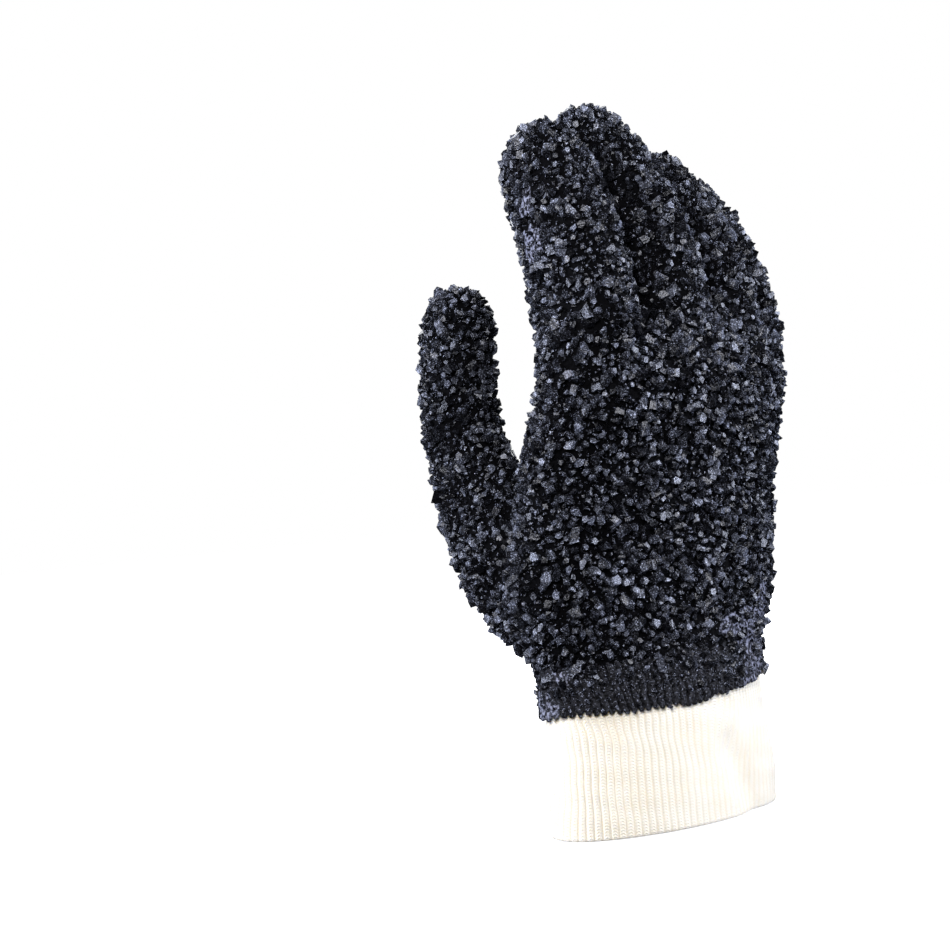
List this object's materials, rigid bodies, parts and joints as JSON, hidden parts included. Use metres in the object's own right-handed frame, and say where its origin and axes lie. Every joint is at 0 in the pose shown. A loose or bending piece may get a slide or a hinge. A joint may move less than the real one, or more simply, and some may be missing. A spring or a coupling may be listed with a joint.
{
  "type": "pvc coated work glove",
  "caption": "Right-hand work glove dipped in coarse black PVC crumb, fingers upright and slightly curled, with a cream rib-knit wrist cuff.",
  "frame": {"origin": "centre of the cuff's mouth, where the wrist goes in", "axes": "+Z from the wrist to the fingertips, -Y the back of the hand, +Y the palm side, -X the thumb side"},
  "size_m": [0.136, 0.1011, 0.2603],
  "materials": {
    "pvc_coating": "coarse angular black PVC crumb, slightly glossy on its facets",
    "rib_knit": "cream rib knit"
  },
  "bodies": {
    "root": {"coated_hand": "pvc_coating", "knit_cuff": "rib_knit"}
  },
  "joints": []
}
